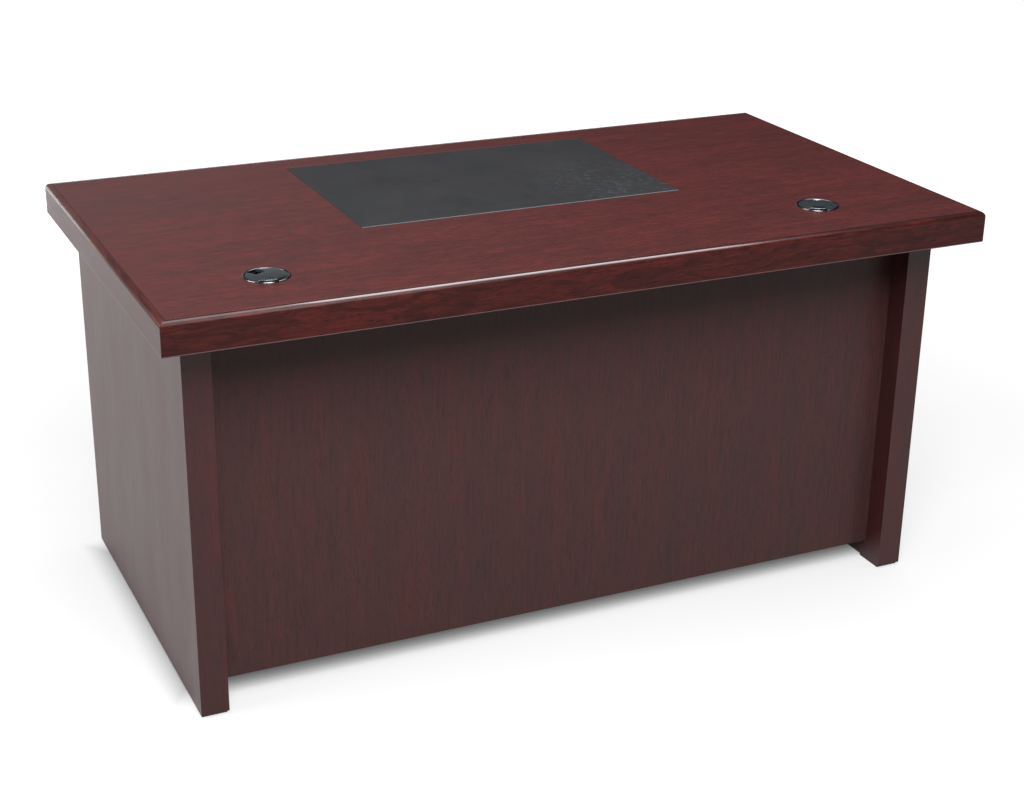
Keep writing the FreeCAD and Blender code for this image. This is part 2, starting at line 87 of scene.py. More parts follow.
class Recipe:
    """The nodes of one finish, or of the light round the desk."""

    def __init__(self, tree):
        self.tree = tree
        tree.nodes.clear()

    def node(self, kind, settings=None, sockets=None, out=0):
        """Adds a node, sets its settings, then its sockets' values or links."""
        made = self.tree.nodes.new(kind)
        for name, value in (settings or {}).items():
            setattr(made, name, value)
        for name, value in (sockets or {}).items():
            if isinstance(value, Amount):
                self.tree.links.new(value.socket, made.inputs[name])
            else:
                made.inputs[name].default_value = value
        return Amount(self, made.outputs[out]) if made.outputs else None

    def place(self, turn=(0, 0, 0), shift=(0, 0, 0)):
        """Metres on the resting desk, turned and shifted."""
        at = self.node("ShaderNodeTexCoord", out="Object")
        return self.node("ShaderNodeMapping", {"vector_type": "POINT"},
                         {"Vector": at, "Rotation": turn, "Location": shift})

    def vector(self, operation, first, second, third=(0, 0, 0), out=0):
        return self.node("ShaderNodeVectorMath", {"operation": operation},
                         {0: first, 1: second, 2: third}, out)

    def noise(self, place, per_metre, detail=2.0, rough=0.5, out=0):
        """Noise from 0 to 1 with so many lumps a metre along each axis."""
        lumps = self.vector("MULTIPLY", place, per_metre)
        sockets = {"Vector": lumps, "Scale": 1.0, "Detail": detail, "Roughness": rough}
        return self.node("ShaderNodeTexNoise", {"noise_dimensions": "3D"}, sockets, out)

    def part(self, place, axis):
        """One of a place's three measures: 0 across, 1 along, 2 up."""
        return self.node("ShaderNodeSeparateXYZ", {}, {0: place}, axis)

    def between(self, value, low, high):
        """0 below low, 1 above high, and smooth from one to the other."""
        return self.node("ShaderNodeMapRange", {"interpolation_type": "SMOOTHSTEP"},
                         {"Value": value, "From Min": low, "From Max": high})

    def tint(self, share, first, second):
        """The first colour where share is 0, the second where it is 1."""
        return self.node("ShaderNodeMix", {"data_type": "RGBA"}, {0: share, 6: first, 7: second}, 2)

    def bump(self, height, depth):
        return self.node("ShaderNodeBump", {}, {"Height": height, "Distance": depth})


def finish(name, paint):
    """A finish whose recipe gives the shader's sockets."""
    material = bpy.data.materials.new(name)
    material.use_nodes = True
    recipe = Recipe(material.node_tree)
    surface = recipe.node("ShaderNodeBsdfPrincipled", {}, paint(recipe))
    recipe.node("ShaderNodeOutputMaterial", {}, {"Surface": surface})
    return material


def rgb(red, green, blue):
    return (red, green, blue, 1.0)


# ------------------------------------------------------------------ mahogany laminate
# The edge strips: how far below their top the lacquer begins and is full, and the painted
# highlight, a pale line that runs along their foot where their lower arris would catch light.
NOSING_LOW, NOSING_HIGH = 0.0044, 0.0006
LACQUER_ROUGHNESS, LACQUER_IOR = 0.10, 2.8
FOOT_HIGHLIGHT = 0.0024
FOOT_HIGHLIGHT_FADE = FOOT_HIGHLIGHT * 0.6
FOOT_HIGHLIGHT_PALE = rgb(0.20, 0.13, 0.13)
FOOT_HIGHLIGHT_SHARE = 0.5

GRAIN_TURN = {"x": (0, 0, 0), "y": (0, 0, -math.pi / 2), "z": (0, math.pi / 2, 0)}
CLOUDS_A_METRE = (5, 14, 14)
FIBRES_A_METRE = (60, 440, 440)


def mahogany(name, along, shift, look):
    """Printed mahogany: clouds, bands, short streaks and pores along one axis of the desk."""

    def paint(r):
        lay = r.place(GRAIN_TURN[along], shift)
        wavy = swayed(r, lay, look)
        clouds = r.noise(wavy, CLOUDS_A_METRE, 3.0)
        bands = r.noise(wavy, look["bands"], 4.0, 0.62)
        streaks = r.noise(wavy, look["streaks"], 3.0, 0.62)
        fibres = r.noise(wavy, FIBRES_A_METRE, 3.0, 0.7)
        figure = r.noise(wavy, look["figure"], 1.0) * look["rings"]
        blend = bands * 0.45 + clouds * 0.25 + streaks * 0.30
        colour = r.tint(r.between(blend, 0.36, 0.64), look["brown"], look["red"])
        flecks = r.between(streaks * 0.6 + bands * 0.4, 0.53, 0.68) * look["fleck"]
        colour = r.tint(flecks, colour, look["bright"])
        for share in (r.between(1 - streaks, 0.50, 0.70) * look["streak"],
                      r.between(figure.alone("SINE"), 0.1, 1.0) * look["ring"],
                      r.between(fibres, 0.50, 0.70) * look["pores"]):
            colour = r.tint(share, colour, look["dark"])
        # Painted highlight: a pale line along the foot of the edge strips.
        if look["painted_foot_highlight"]:
            colour = painted_foot_highlight(r, colour)
        sockets = {"Base Color": colour,
                   "Roughness": look["roughness"] + 0.10 * (streaks - 0.5) + 0.08 * (clouds - 0.5),
                   "Specular IOR Level": look["shine"],
                   "Normal": r.bump(streaks * 0.5 + fibres * 0.5, look["tooth"])}
        if look["nosing"]:
            sockets.update(lacquered(r))
        return sockets

    return finish(name, paint)


def swayed(r, lay, look):
    """The grain's own places, pushed from side to side so that its lines wander."""
    swing = r.vector("SUBTRACT", r.noise(lay, look["sway"], 3.0, out="Color"), (0.5, 0.5, 0.5))
    return r.vector("MULTIPLY_ADD", swing, (0, look["wander"], look["wander"]), lay)


def painted_foot_highlight(r, colour):
    """A painted highlight: a pale line along an edge strip's foot, where its lower arris would catch light."""
    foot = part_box("top_front_edge")[0].z
    above = r.between(r.part(r.place(), 2), foot + FOOT_HIGHLIGHT_FADE, foot + FOOT_HIGHLIGHT)
    return r.tint(FOOT_HIGHLIGHT_SHARE - FOOT_HIGHLIGHT_SHARE * above, colour, FOOT_HIGHLIGHT_PALE)


def lacquered(r):
    """Lacquer on the round at an edge strip's top."""
    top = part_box("top_front_edge")[1].z
    return {"Coat Weight": r.between(r.part(r.place(), 2), top - NOSING_LOW, top - NOSING_HIGH),
            "Coat Roughness": LACQUER_ROUGHNESS, "Coat IOR": LACQUER_IOR}


# What each laminate looks like. Three numbers together are lumps a metre along, across and
# through the grain.
TOP_LOOK = {"sway": (3, 9, 9), "wander": 0.022, "bands": (9, 76, 76), "streaks": (34, 290, 290),
            "figure": (2.2, 12, 12), "rings": 22.0, "ring": 0.16, "streak": 0.60, "fleck": 0.60,
            "pores": 0.75, "roughness": 0.33, "shine": 0.33, "tooth": 0.00006,
            "nosing": False, "painted_foot_highlight": False,
            "brown": rgb(0.049, 0.0134, 0.0124), "red": rgb(0.078, 0.0150, 0.0130),
            "bright": rgb(0.116, 0.0200, 0.0165), "dark": rgb(0.028, 0.0088, 0.0084)}
EDGE_LOOK = {"sway": (7, 22, 22), "wander": 0.040, "bands": (7, 60, 60), "streaks": (24, 260, 260),
             "figure": (3.5, 26, 26), "rings": 34.0, "ring": 0.50, "streak": 0.60, "fleck": 0.60,
             "pores": 0.70, "roughness": 0.36, "shine": 0.12, "tooth": 0.00005,
             "nosing": False, "painted_foot_highlight": True,
             "brown": rgb(0.038, 0.0084, 0.0074), "red": rgb(0.064, 0.0112, 0.0090),
             "bright": rgb(0.096, 0.0150, 0.0115), "dark": rgb(0.017, 0.0044, 0.0042)}
NOSED_LOOK = dict(EDGE_LOOK, nosing=True)
SIDE_LOOK = dict(EDGE_LOOK, shine=0.30, roughness=0.40)
PANEL_LOOK = {"sway": (2, 8, 8), "wander": 0.020, "bands": (3, 26, 26), "streaks": (14, 170, 170),
              "figure": (1.4, 9, 9), "rings": 9.0, "ring": 0.10, "streak": 0.35, "fleck": 0.30,
              "pores": 0.65, "roughness": 0.40, "shine": 0.30, "tooth": 0.00007,
              "nosing": False, "painted_foot_highlight": False,
              "brown": rgb(0.040, 0.0125, 0.0117), "red": rgb(0.056, 0.0127, 0.0117),
              "bright": rgb(0.090, 0.0150, 0.0130), "dark": rgb(0.020, 0.0075, 0.0072)}
MODESTY_LOOK = dict(PANEL_LOOK, shine=0.18,
                    brown=rgb(0.050, 0.0245, 0.0233), red=rgb(0.067, 0.0245, 0.0230),
                    bright=rgb(0.100, 0.0270, 0.0245), dark=rgb(0.027, 0.0150, 0.0142))
INNER_LOOK = dict(PANEL_LOOK, roughness=0.55, shine=0.15)

# The boards, with the way their grain runs, their look and where on the print they are cut.
TOP_BOARDS = {"top_board": ("x", TOP_LOOK, (0.0, 0.0, 0.0)),
              "top_lower_board": ("x", INNER_LOOK, (0.4, 0.1, 0.0)),
              "top_front_edge": ("x", NOSED_LOOK, (0.7, 0.31, 0.13)),
              "top_rear_edge": ("x", NOSED_LOOK, (2.1, 0.57, 0.21)),
              "top_left_edge": ("y", SIDE_LOOK, (3.3, 0.11, 0.37)),
              "top_right_edge": ("y", SIDE_LOOK, (4.9, 0.83, 0.41))}
UPRIGHT_BOARDS = {"left_end_panel": (PANEL_LOOK, 5.0), "right_end_panel": (PANEL_LOOK, 6.0),
                  "modesty_panel": (MODESTY_LOOK, 7.0), "cupboard_door": (PANEL_LOOK, 8.0),
                  "drawer_1_front": (PANEL_LOOK, 9.0), "drawer_2_front": (PANEL_LOOK, 9.0),
                  "drawer_3_front": (PANEL_LOOK, 9.0),
                  "drawer_unit_side": (INNER_LOOK, 10.0), "cupboard_side": (INNER_LOOK, 11.0)}
LEVEL_BOARDS = {"drawer_unit_bottom": 12.0, "drawer_unit_rail": 13.0, "cupboard_bottom": 14.0,
                "cupboard_rail": 15.0, "cupboard_shelf": 16.0}


def clad_boards():
    """Laminate on every board, cut from its own place on the print; the three drawer fronts
    share one place, so their grain runs on from one to the next."""
    for node, (along, look, shift) in TOP_BOARDS.items():
        wear(node, mahogany(node + "_mahogany", along, shift, look))
    for node, (look, cut) in UPRIGHT_BOARDS.items():
        wear(node, mahogany(node + "_mahogany", "z", cut_at(cut), look))
    for node, cut in LEVEL_BOARDS.items():
        wear(node, mahogany(node + "_mahogany", "x", cut_at(cut), INNER_LOOK))


def cut_at(cut):
    """How far the print is shifted for a cut of this number."""
    return (cut, cut * 0.7, cut * 0.3)


# ------------------------------------------------------------------ other finishes
def box_board():
    """Pale melamine with a faint wood print, for the drawers' boxes."""

    def paint(r):
        lay = r.place(GRAIN_TURN["y"])
        bands = r.noise(lay, (2, 60, 60), 3.0, 0.6)
        streaks = r.noise(lay, (9, 420, 420), 2.0)
        share = r.between(bands * 0.6 + streaks * 0.4, 0.35, 0.65)
        return {"Base Color": r.tint(share, rgb(0.40, 0.31, 0.22), rgb(0.52, 0.42, 0.31)),
                "Roughness": 0.46 + 0.12 * (streaks - 0.5),
                "Normal": r.bump(streaks, 0.00005)}

    return finish("drawer_box_melamine", paint)


# The mat: its pebbles a metre, the depth of the painted highlight along its front edge, and
# the patch that papers rub, which is a circle so far in from the mat's front right corner.
PEBBLES = 900.0
MAT_EDGE_HIGHLIGHT = 0.0040
MAT_EDGE_HIGHLIGHT_FADE = MAT_EDGE_HIGHLIGHT * 0.6
RUB_FROM_RIGHT, RUB_FROM_FRONT = 0.09, 0.10
RUB_FULL, RUB_END = 0.05, 0.22


def leatherette():
    """Charcoal leatherette: pebbled, with a few paler rubbed marks and a painted highlight along its front edge.
    """

    def paint(r):
        lay = r.place()
        pebble = r.node("ShaderNodeTexVoronoi", {"feature": "SMOOTH_F1"},
                        {"Vector": lay, "Scale": PEBBLES, "Smoothness": 0.4}, "Distance")
        cloud = r.noise(lay, (9, 9, 9), 4.0, 0.6)
        mottle = r.noise(lay, (60, 60, 60), 3.0, 0.6)
        rub = r.noise(lay, (70, 110, 70), 4.0, 0.65)
        rubbed = r.between(rub, 0.50, 0.72) * rub_place(r, lay)
        colour = r.tint(cloud * 0.6 + mottle * 0.4,
                        rgb(0.008, 0.0085, 0.009), rgb(0.028, 0.029, 0.031))
        colour = r.tint(rubbed * 0.5, colour, rgb(0.070, 0.073, 0.077))
        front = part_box("writing_mat")[0].y
        # Painted highlight: the mat's face is paler along its front edge, where its rolled edge catches light.
        painted_front_highlight = 1 - r.between(r.part(lay, 1), front + MAT_EDGE_HIGHLIGHT_FADE, front + MAT_EDGE_HIGHLIGHT)
        return {"Base Color": r.tint(painted_front_highlight * 0.8, colour, rgb(0.10, 0.12, 0.13)),
                "Roughness": 0.50 + 0.10 * (cloud - 0.5) - 0.08 * rubbed,
                "Specular IOR Level": 0.25,
                "Normal": r.bump(pebble, 0.00012)}

    return finish("mat_leatherette", paint)


def rub_place(r, lay):
    """1 near the corner where papers slide over the mat."""
    low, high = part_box("writing_mat")
    middle = (high.x - RUB_FROM_RIGHT, low.y + RUB_FROM_FRONT, high.z)
    return 1 - r.between(r.vector("DISTANCE", lay, middle, out="Value"), RUB_FULL, RUB_END)


def plating_smear(r, lay):
    """The uneven film that fingers leave on polished plating."""
    return r.noise(lay, (160, 160, 60), 3.0)


def chromed():
    """Polished chrome."""

    def paint(r):
        smear = plating_smear(r, r.place())
        return {"Base Color": r.tint(smear, rgb(0.62, 0.64, 0.66), rgb(0.76, 0.78, 0.80)),
                "Metallic": 1.0, "Roughness": 0.12 + 0.10 * (smear - 0.4)}

    return finish("polished_chrome", paint)


# Where the painted shade inside a grommet ring's sleeve ends and its chrome is full, from the top board's face.
SLEEVE_SHADE_FROM, SLEEVE_SHADE_TO = -0.0012, 0.0002


def ring_chrome():
    """Smoky chrome of the grommet rings, with painted shade inside the sleeve: black below the top's face."""

    def paint(r):
        lay = r.place()
        smear = plating_smear(r, lay)
        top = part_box("top_board")[1].z
        # Painted shade: the sleeve below the top board's face is black.
        out_of_sleeve_shade = r.between(r.part(lay, 2), top + SLEEVE_SHADE_FROM, top + SLEEVE_SHADE_TO)
        plate = r.tint(smear, rgb(0.13, 0.135, 0.145), rgb(0.22, 0.225, 0.24))
        return {"Base Color": r.tint(out_of_sleeve_shade, rgb(0.008, 0.008, 0.008), plate),
                "Metallic": 1.0, "Roughness": 0.16 + 0.12 * (smear - 0.4)}

    return finish("ring_smoky_chrome", paint)


def dark_gloss():
    """Blue-grey moulding of the grommet caps, with a fine moulded texture."""

    def paint(r):
        lay = r.place()
        smear = r.noise(lay, (60, 60, 60), 3.0)
        fine = r.noise(lay, (1500, 1500, 1500), 1.0)
        return {"Base Color": r.tint(smear, rgb(0.015, 0.019, 0.021), rgb(0.026, 0.031, 0.034)),
                "Roughness": 0.24 + 0.14 * (smear - 0.4), "Coat Weight": 0.10,
                "Specular IOR Level": 0.32,
                "Normal": r.bump(fine, 0.00002)}

    return finish("grommet_cap_gloss", paint)


def rolled_steel(name, pale, dark, rough, along, per_metre):
    """Metal with fine lines from rolling or brushing, and uneven plating."""

    def paint(r):
        lay = r.place(GRAIN_TURN[along])
        lines = r.noise(lay, (12, per_metre, per_metre), 2.0)
        patches = r.noise(lay, (30, 30, 30), 3.0)
        share = lines * 0.6 + patches * 0.4
        return {"Base Color": r.tint(share, dark, pale), "Metallic": 1.0,
                "Roughness": rough + 0.16 * (patches - 0.5) + 0.10 * (lines - 0.5),
                "Normal": r.bump(lines, 0.00002)}

    return finish(name, paint)


def cast_zinc():
    """Dull, gritty zinc of the cam locks."""

    def paint(r):
        grit = r.noise(r.place(), (700, 700, 700), 3.0)
        return {"Base Color": r.tint(grit, rgb(0.34, 0.34, 0.34), rgb(0.52, 0.52, 0.50)),
                "Metallic": 1.0, "Roughness": 0.42 + 0.2 * (grit - 0.5),
                "Normal": r.bump(grit, 0.0001)}

    return finish("cam_zinc_casting", paint)


def black_moulding():
    """Black plastic with a sparked mould texture and a little dust."""

    def paint(r):
        lay = r.place()
        spark = r.noise(lay, (1800, 1800, 1800), 2.0)
        dust = r.noise(lay, (40, 40, 90), 3.0)
        return {"Base Color": r.tint(dust, rgb(0.012, 0.012, 0.012), rgb(0.026, 0.025, 0.024)),
                "Roughness": 0.55 + 0.15 * (dust - 0.5), "Normal": r.bump(spark, 0.00006)}

    return finish("black_moulded_plastic", paint)


def beech():
    """Pale beech with short flecks, for the dowels."""

    def paint(r):
        flecks = r.noise(r.place(), (90, 900, 900), 2.0)
        share = r.between(flecks, 0.4, 0.62)
        return {"Base Color": r.tint(share, rgb(0.46, 0.31, 0.18), rgb(0.60, 0.43, 0.27)),
                "Roughness": 0.6 + 0.1 * (flecks - 0.5), "Normal": r.bump(flecks, 0.00006)}

    return finish("dowel_beech", paint)


# ------------------------------------------------------------------ dressing the CAD nodes
def wear(node, material):
    """Puts a finish on a CAD node."""
    for place in NODES[node].material_slots:
        place.material = material


WELD_GAP = 0.00001
FLAT_ANGLE = math.radians(0.5)
SHARP_ANGLE = math.radians(30)


def ease(piece, width):
    """Rounds a piece's sharp edges a little and shades its flats as flat."""
    weld = piece.modifiers.new("weld", "WELD")
    weld.merge_threshold = WELD_GAP
    flats = piece.modifiers.new("flats", "DECIMATE")
    flats.decimate_type = "DISSOLVE"
    flats.angle_limit = FLAT_ANGLE
    rounding = piece.modifiers.new("rounding", "BEVEL")
    rounding.width = width
    rounding.segments = 2
    rounding.limit_method = "ANGLE"
    rounding.angle_limit = SHARP_ANGLE
    rounding.harden_normals = True
    rounding.use_clamp_overlap = True


# How wide the rounding of each material's sharp edges is.
EASED = {"mahogany_laminate": 0.0007, "mahogany_inner": 0.0005, "drawer_box_board": 0.0005,
         "black_plastic": 0.0008, "runner_steel": 0.0002, "handle_metal": 0.0004}


def slots_of_nodes():
    """Each CAD node's material slot, by name."""
    return {part["node"]: part["material_slot"] for part in frame["record"]["subparts"]}


def dress_nodes():
    """Finishes on every node that is not a laminated board, and eased edges where EASED gives
    their width."""
    steel = rolled_steel("zinc_plated_steel", rgb(0.66, 0.67, 0.68), rgb(0.48, 0.49, 0.51),
                         0.30, "y", 500)
    nickel = rolled_steel("satin_nickel", rgb(0.66, 0.64, 0.61), rgb(0.54, 0.52, 0.49),
                          0.26, "x", 900)
    finishes = {"drawer_box_board": box_board(), "chrome": chromed(), "dark_cap": dark_gloss(),
                "runner_steel": steel, "handle_metal": nickel, "cam_zinc": cast_zinc(),
                "black_plastic": black_moulding(), "dowel_wood": beech()}
    for node, slot in slots_of_nodes().items():
        if slot in finishes:
            wear(node, finishes[slot])
        if slot in EASED:
            ease(NODES[node], EASED[slot])
    return finishes


# ------------------------------------------------------------------ new pieces
def around(shape, put, radius, angle, z):
    """A new point at a radius and an angle round an axis, and so far along it."""
    return shape.verts.new(put @ Vector((radius * math.cos(angle), radius * math.sin(angle), z)))


def wall(shape, upper, lower):
    """Faces from one closed line of points to another below it."""
    for i in range(len(upper)):
        j = (i + 1) % len(upper)
        shape.faces.new((upper[i], upper[j], lower[j], lower[i]))


def new_piece(name, shape, material, body):
    """Makes a piece from a bmesh, gives it a finish and lets it ride on a body."""
    mesh = bpy.data.meshes.new(name)
    bmesh.ops.recalc_face_normals(shape, faces=shape.faces)
    shape.to_mesh(mesh)
    shape.free()
    mesh.materials.append(material)
    piece = bpy.data.objects.new(name, mesh)
    bpy.context.scene.collection.objects.link(piece)
    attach(piece, body)
    return piece


# The mat: how far in its edge rolls down and in which steps, its cells across and along, how
# far its face lies below its box's top, and its ripple.
MAT_ROLL = 0.0009
ROLL_STEPS = (0.0, 0.12, 0.45, 1.0)
MAT_CELLS = (64, 42)
MAT_SUNK = 0.00008
RIPPLE, RIPPLES_A_METRE = 0.00006, 9


def writing_mat():
    """The leatherette mat: a thin pad with a rolled edge that lies in the top's recess."""
    low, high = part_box("writing_mat")
    shape = bmesh.new()
    grid = mat_face(shape, low, high)
    mat_skirt(shape, grid, low.z)
    mat = new_piece("leatherette_mat", shape, leatherette(), "desk")
    for face in mat.data.polygons:
        face.use_smooth = len(face.vertices) == 4
    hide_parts("writing_mat")


def mat_face(shape, low, high):
    """The mat's upper side; gives its points, row by row."""
    columns = roll_lines(low.x, high.x, MAT_CELLS[0])
    rows = roll_lines(low.y, high.y, MAT_CELLS[1])
    grid = [[shape.verts.new((x, y, mat_height(x, y, low, high))) for x in columns] for y in rows]
    for above, below in zip(grid, grid[1:]):
        for corners in zip(below, below[1:], above[1:], above):
            shape.faces.new(corners)
    return grid


def mat_skirt(shape, grid, foot_z):
    """The mat's edge down to the recess's floor, and its underside."""
    rim = grid[0] + [line[-1] for line in grid[1:]]
    rim += grid[-1][-2::-1] + [line[0] for line in grid[-2:0:-1]]
    foot = [shape.verts.new((v.co.x, v.co.y, foot_z)) for v in rim]
    wall(shape, rim, foot)
    shape.faces.new(foot)


def roll_lines(low, high, cells):
    """Lines across the mat, close together where its edge rolls down."""
    inner = [low + MAT_ROLL * 2 + (high - low - MAT_ROLL * 4) * i / cells for i in range(cells + 1)]
    near = [MAT_ROLL * share for share in ROLL_STEPS]
    return [low + step for step in near] + inner + [high - step for step in reversed(near)]


def mat_height(x, y, low, high):
    """The pad's upper side: nearly level, rolled down at its edge."""
    edge = min(x - low.x, high.x - x, y - low.y, high.y - y)
    rolled = max(0.0, 1 - edge / MAT_ROLL)
    drop = MAT_ROLL * (1 - math.sqrt(max(0.0, 1 - rolled ** 2)))
    ripple = noise.noise(Vector((x * RIPPLES_A_METRE, y * RIPPLES_A_METRE, 0.4))) * RIPPLE
    return high.z - MAT_SUNK - drop + ripple


# ------------------------------------------------------------------ screw heads
SCREW_RADIUS = 0.0045
SCREW_SIDES = 24
# The head's outline, in shares of its radius and its height.
HEAD_PROFILE = [(1.0, 0.0), (1.0, 0.25), (0.93, 0.60), (0.76, 0.86), (0.56, 1.0)]
HEAD_HEIGHT = SCREW_RADIUS * 0.45
# The cross sunk in the head: half its arms' width, their reach, how much it narrows downwards
# and how high its floor is.
RECESS_WIDE, RECESS_REACH = SCREW_RADIUS * 0.09, SCREW_RADIUS * 0.42
PIT_TAPER, PIT_FLOOR = 0.8, 0.3
# Half the distance between a handle's two posts.
POST_HALF = 0.048


def screw_head(shape, centre):
    """A pan head with a cross recess, added to a bmesh, facing the visitor's side."""
    turn = Vector((0, 0, 1)).rotation_difference(Vector((0, -1, 0))).to_matrix().to_4x4()
    put = Matrix.Translation(Vector(centre)) @ turn
    angles = [math.tau * i / SCREW_SIDES for i in range(SCREW_SIDES)]
    rings = [[around(shape, put, share * SCREW_RADIUS, angle, rise * HEAD_HEIGHT)
              for angle in angles] for share, rise in HEAD_PROFILE]
    shape.faces.new(rings[0][::-1])
    for lower, upper in zip(rings, rings[1:]):
        wall(shape, lower, upper)
    cross_recess(shape, put, rings[-1])


def cross_recess(shape, put, crown):
    """The head's crown and the cross sunk in it."""
    a, b = RECESS_WIDE, RECESS_REACH
    outline = [(a, a), (a, b), (-a, b), (-a, a), (-b, a), (-b, -a),
               (-a, -a), (-a, -b), (a, -b), (a, -a), (b, -a), (b, a)]
    lip = [shape.verts.new(put @ Vector((x, y, HEAD_HEIGHT))) for x, y in outline]
    pit = [shape.verts.new(put @ Vector((x * PIT_TAPER, y * PIT_TAPER, HEAD_HEIGHT * PIT_FLOOR)))
           for x, y in outline]
    crown_edges = [shape.edges.get(pair) for pair in zip(crown, crown[1:] + crown[:1])]
    lip_edges = [shape.edges.new(pair) for pair in zip(lip, lip[1:] + lip[:1])]
    bmesh.ops.triangle_fill(shape, edges=crown_edges + lip_edges, use_beauty=True)
    wall(shape, lip, pit)
    shape.faces.new(pit[::-1])


def screws(handle, along, material, body):
    """A handle's two screw heads inside its front, one behind each of its posts."""
    low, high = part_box(handle)
    middle = (low + high) / 2
    middle.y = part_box("drawer_1_front")[0].y
    shape = bmesh.new()
    for side in (-1, 1):
        screw_head(shape, middle + side * POST_HALF * along)
    new_piece(handle + "_screws", shape, material, body)


def handle_screws(steel):
    """Screw heads for the drawers' level handles and the door's upright one."""
    for drawer in ("drawer_1", "drawer_2", "drawer_3"):
        screws(drawer + "_handle", Vector((1, 0, 0)), steel, drawer)
    screws("door_handle", Vector((0, 0, 1)), steel, "door")


# ------------------------------------------------------------------ grommet rings
# The ring's outline as radius and height over the top's face: its rolled rim from the
# outside in, then its sleeve from the cap's seat down and out.
RING_SIDES = 96
RING_ROUND = [(0.0400, 0.0), (0.0399, 0.0007), (0.0394, 0.0014), (0.0386, 0.0019),
              (0.0377, 0.0020), (0.0368, 0.0019), (0.0360, 0.0014), (0.0356, 0.0007)]
RING_SLEEVE = [(0.0355, -0.0030), (0.0310, -0.0030), (0.0310, -0.0200), (0.0370, -0.0200),
               (0.0370, 0.0)]
RING_TURNS = {"left": math.radians(-12.0), "right": math.radians(-31.0)}

# The bridge over the cable slot: half its length, thickness and slot, its middle's radius,
# the heights of its top and ends and of the slot's roof and foot, and how long its ends and
# the slot's corners take to reach them.
BRIDGE_STATIONS, BRIDGE_SIDES = 48, 20
BRIDGE_HALF, BRIDGE_HALF_THICK, SLOT_HALF = 0.0170, 0.0021, 0.0080
BRIDGE_MIDDLE = 0.0382
BRIDGE_TOP, BRIDGE_END_TOP, SLOT_TOP, BRIDGE_FOOT = 0.0059, 0.0016, 0.0044, 0.0010
BRIDGE_END_RUN, SLOT_CORNER = 0.0040, 0.0008
# 1 gives an oval section, and less a squarer one.
BRIDGE_SQUARE = 0.7


def grommet_rings():
    """Chromed liners with a rolled rim and a slotted bridge at the front for cables."""
    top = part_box("top_board")[1].z
    chrome = ring_chrome()
    for side, turn in RING_TURNS.items():
        centre = Vector(JOINTS[side + "_cap_turn"]["pos_m"])
        shape = bmesh.new()
        put = Matrix.Translation((centre.x, centre.y, top)) @ Matrix.Rotation(turn, 4, "Z")
        ring_rim(shape, put)
        ring_bridge(shape, put)
        ring = new_piece(side + "_chrome_ring", shape, chrome, "desk")
        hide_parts(side + "_grommet_ring")


def ring_rim(shape, put):
    """The rolled flange, the cap's seat and the sleeve, turned about the ring's axis."""
    profile = RING_ROUND + RING_SLEEVE
    rings = [[around(shape, put, radius, math.tau * i / RING_SIDES, z) for radius, z in profile]
             for i in range(RING_SIDES)]
    for i in range(RING_SIDES):
        here, after = rings[i], rings[(i + 1) % RING_SIDES]
        for k in range(len(profile)):
            j = (k + 1) % len(profile)
            face = shape.faces.new((here[k], after[k], after[j], here[j]))
            face.smooth = k < len(RING_ROUND)


def ring_bridge(shape, put):
    """A low rounded bar over the cable slot, on the ring's front."""
    runs = [BRIDGE_HALF * (2 * i / BRIDGE_STATIONS - 1) for i in range(BRIDGE_STATIONS + 1)]
    stations = [bridge_section(shape, put, run) for run in runs]
    for here, after in zip(stations, stations[1:]):
        for k in range(BRIDGE_SIDES):
            j = (k + 1) % BRIDGE_SIDES
            face = shape.faces.new((here[k], after[k], after[j], here[j]))
            face.smooth = True
    shape.faces.new(stations[0])
    shape.faces.new(stations[-1][::-1])


def bridge_section(shape, put, run):
    """Points round the bridge, so far along it from its middle."""
    angle = run / BRIDGE_MIDDLE - math.pi / 2
    rise = math.sin(min(1.0, (BRIDGE_HALF - abs(run)) / BRIDGE_END_RUN) * math.pi / 2)
    opening = min(1.0, max(0.0, (SLOT_HALF - abs(run)) / SLOT_CORNER))
    high = BRIDGE_END_TOP + (BRIDGE_TOP - BRIDGE_END_TOP) * rise
    low = BRIDGE_FOOT + (SLOT_TOP - BRIDGE_FOOT) * opening
    ring = []
    for k in range(BRIDGE_SIDES):
        turn = math.tau * k / BRIDGE_SIDES
        radius = BRIDGE_MIDDLE + BRIDGE_HALF_THICK * squared(math.cos(turn))
        z = (high + low) / 2 + (high - low) / 2 * squared(math.sin(turn))
        ring.append(around(shape, put, radius, angle, z))
    return ring


def squared(share):
    """A share from -1 to 1 pushed outwards, which squares an oval section."""
    return math.copysign(abs(share) ** BRIDGE_SQUARE, share)


# ------------------------------------------------------------------ camera, floor and light
CAMERA_PLACE = (-1.3945, -3.0024, 1.7168)
CAMERA_TURNS = ((-0.43816, "Z"), (1.1784, "X"), (0.014165, "Z"))
CAMERA_LENS, CAMERA_WIDTH = 64.45, 36.0


def camera():
    """The camera at the visitor's left, looking down a little on the desk."""
    data = bpy.data.cameras.new("camera")
    data.lens = CAMERA_LENS
    data.sensor_width = CAMERA_WIDTH
    view = bpy.data.objects.new("camera", data)
    bpy.context.scene.collection.objects.link(view)
    turn = Matrix.Identity(4)
    for angle, axis in CAMERA_TURNS:
        turn = turn @ Matrix.Rotation(angle, 4, axis)
    view.matrix_world = Matrix.Translation(CAMERA_PLACE) @ turn
    bpy.context.scene.camera = view


# The floor: half its size, how bright it is close to the desk and how much more far off (the
# lower glow near the desk is a painted shade), and where from the middle that change begins
# and ends.
FLOOR_REACH = 40.0
GLOW_NEAR, GLOW_MORE = 0.57, 0.38
GLOW_FROM, GLOW_TO = 1.2, 3.4
# Where its brightness begins and is full, from the desk's ends and from its front and back;
# the dark inside, under the desk, is a painted shadow.
SHADOW_EDGE_ENDS = (-0.03, 0.05)
SHADOW_EDGE_SIDES = (-0.10, 0.01)


